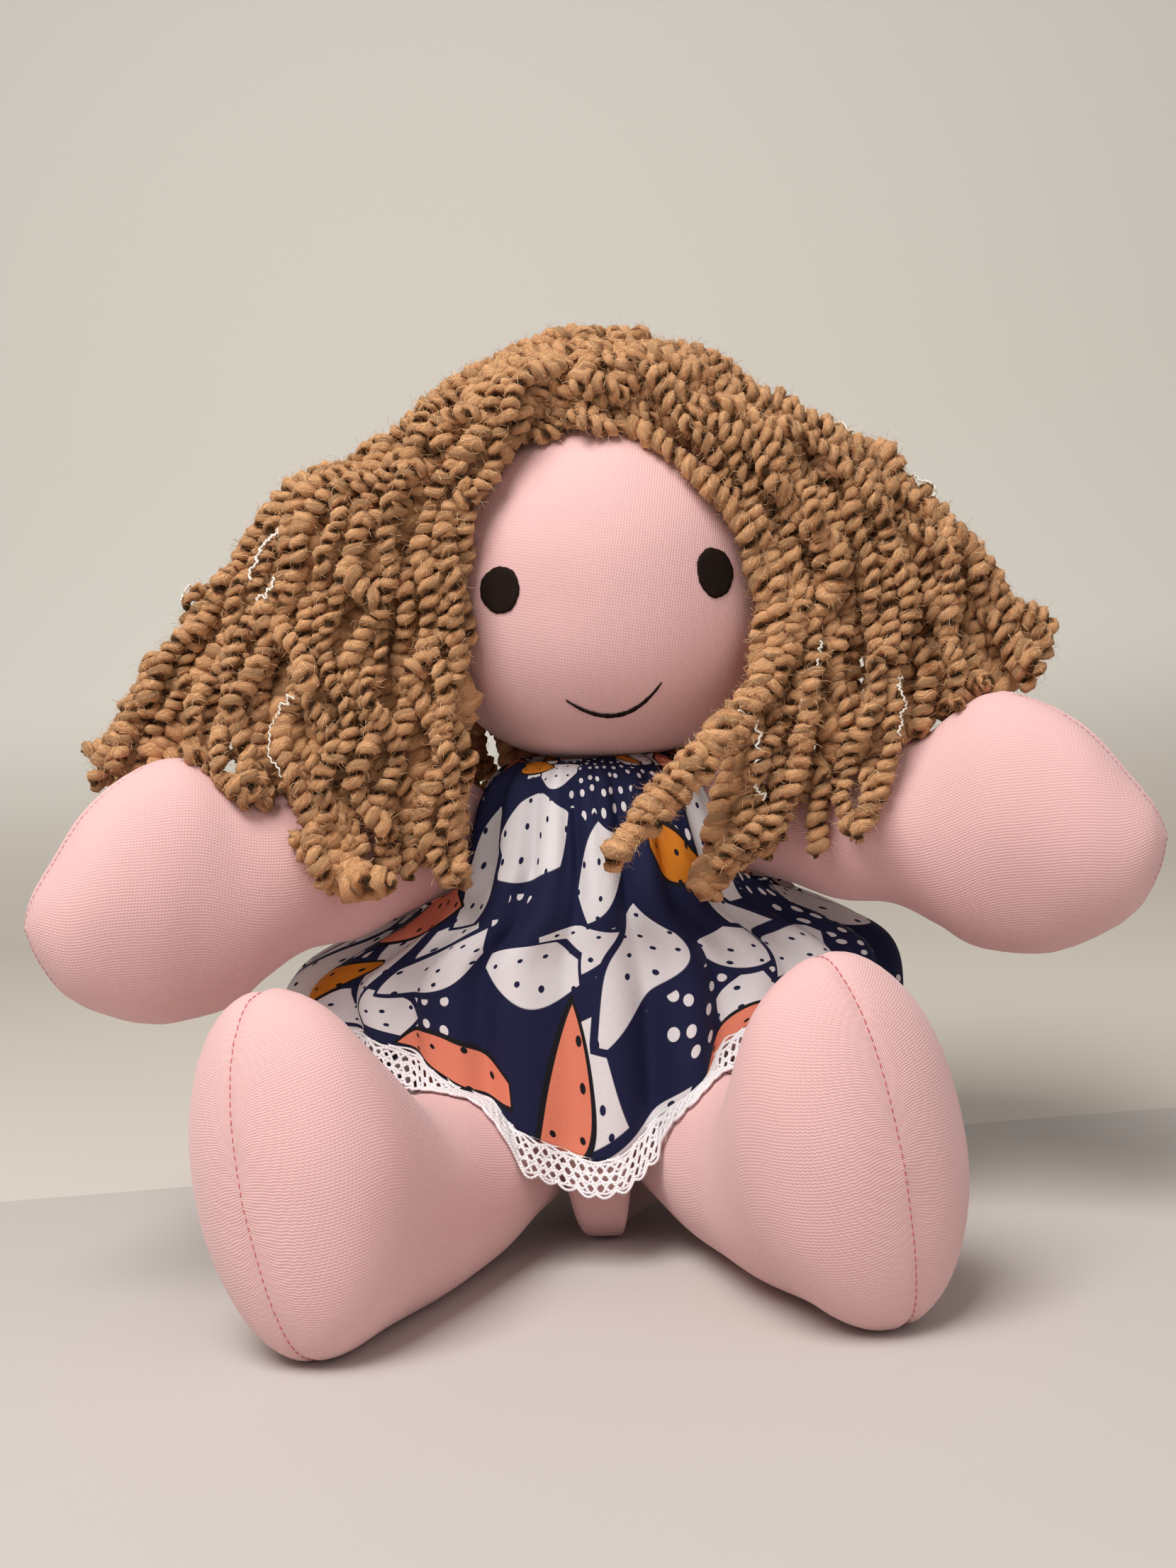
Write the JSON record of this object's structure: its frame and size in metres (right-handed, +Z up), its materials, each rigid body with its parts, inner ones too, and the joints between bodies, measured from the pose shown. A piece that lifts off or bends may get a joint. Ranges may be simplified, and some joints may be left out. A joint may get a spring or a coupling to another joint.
{
  "type": "rag doll",
  "caption": "Seated stuffed cloth doll with a ball head, mitten arms, fat legs, yarn hair and a gathered cotton dress with a lace hem.",
  "frame": {"origin": "on the surface the doll sits on, under the middle of its bounding box", "axes": "+Z up, the doll faces -Y, +X is the doll's own left"},
  "size_m": [0.3446, 0.2101, 0.2989],
  "materials": {
    "skin_knit": "pink cotton interlock knit, matt",
    "stuffing": "white polyester fibre fill",
    "dress_cotton": "printed plain-weave cotton, navy ground",
    "lace": "white cotton crochet edging",
    "hair_yarn": "golden-brown boucle yarn, matt and fuzzy",
    "face_paint": "very dark brown textile paint"
  },
  "bodies": {
    "torso": {"torso_front_panel": "skin_knit", "torso_back_panel": "skin_knit", "torso_stuffing": "stuffing", "dress_neckband": "dress_cotton", "dress_front_panel": "dress_cotton", "dress_back_panel": "dress_cotton", "front_lace": "lace", "back_lace": "lace"},
    "neck": {"neck": "skin_knit"},
    "head": {"head_face_panel": "skin_knit", "head_back_panel": "skin_knit", "head_stuffing": "stuffing", "left_eye": "face_paint", "right_eye": "face_paint", "smile": "face_paint", "hair_crown": "hair_yarn", "hair_left_locks": "hair_yarn", "hair_right_locks": "hair_yarn", "hair_back_locks": "hair_yarn"},
    "left_arm": {"left_arm_front_panel": "skin_knit", "left_arm_back_panel": "skin_knit", "left_arm_stuffing": "stuffing"},
    "right_arm": {"right_arm_front_panel": "skin_knit", "right_arm_back_panel": "skin_knit", "right_arm_stuffing": "stuffing"},
    "left_leg": {"left_leg_inner_panel": "skin_knit", "left_leg_outer_panel": "skin_knit", "left_leg_stuffing": "stuffing"},
    "right_leg": {"right_leg_inner_panel": "skin_knit", "right_leg_outer_panel": "skin_knit", "right_leg_stuffing": "stuffing"}
  },
  "joints": [
    {"name": "neck_nod", "type": "hinge", "parent": "torso", "child": "neck", "pos_m": [0.008, 0.045, 0.147], "axis": [1, 0, 0], "range_deg": [-10, 7]},
    {"name": "head_turn", "type": "hinge", "parent": "neck", "child": "head", "pos_m": [0.008, 0.045, 0.17], "axis": [0, 0, 1], "range_deg": [-30, 30], "deforming": ["hair_left_locks", "hair_right_locks", "hair_back_locks"]},
    {"name": "left_shoulder", "type": "hinge", "parent": "torso", "child": "left_arm", "pos_m": [0.05, 0.034, 0.135], "axis": [-0.4695, -0.8829, 0], "range_deg": [-30, 4]},
    {"name": "right_shoulder", "type": "hinge", "parent": "torso", "child": "right_arm", "pos_m": [-0.05, 0.034, 0.135], "axis": [-0.4695, 0.8829, 0], "range_deg": [-30, 4]},
    {"name": "left_hip", "type": "hinge", "parent": "torso", "child": "left_leg", "pos_m": [0.024, 0.028, 0.031], "axis": [-0.9272, -0.3746, 0], "range_deg": [-70, 8], "deforming": ["dress_front_panel", "dress_back_panel", "front_lace", "back_lace"]},
    {"name": "right_hip", "type": "hinge", "parent": "torso", "child": "right_leg", "pos_m": [-0.034, 0.034, 0.031], "axis": [-0.8829, 0.4695, 0], "range_deg": [-70, 8]}
  ]
}
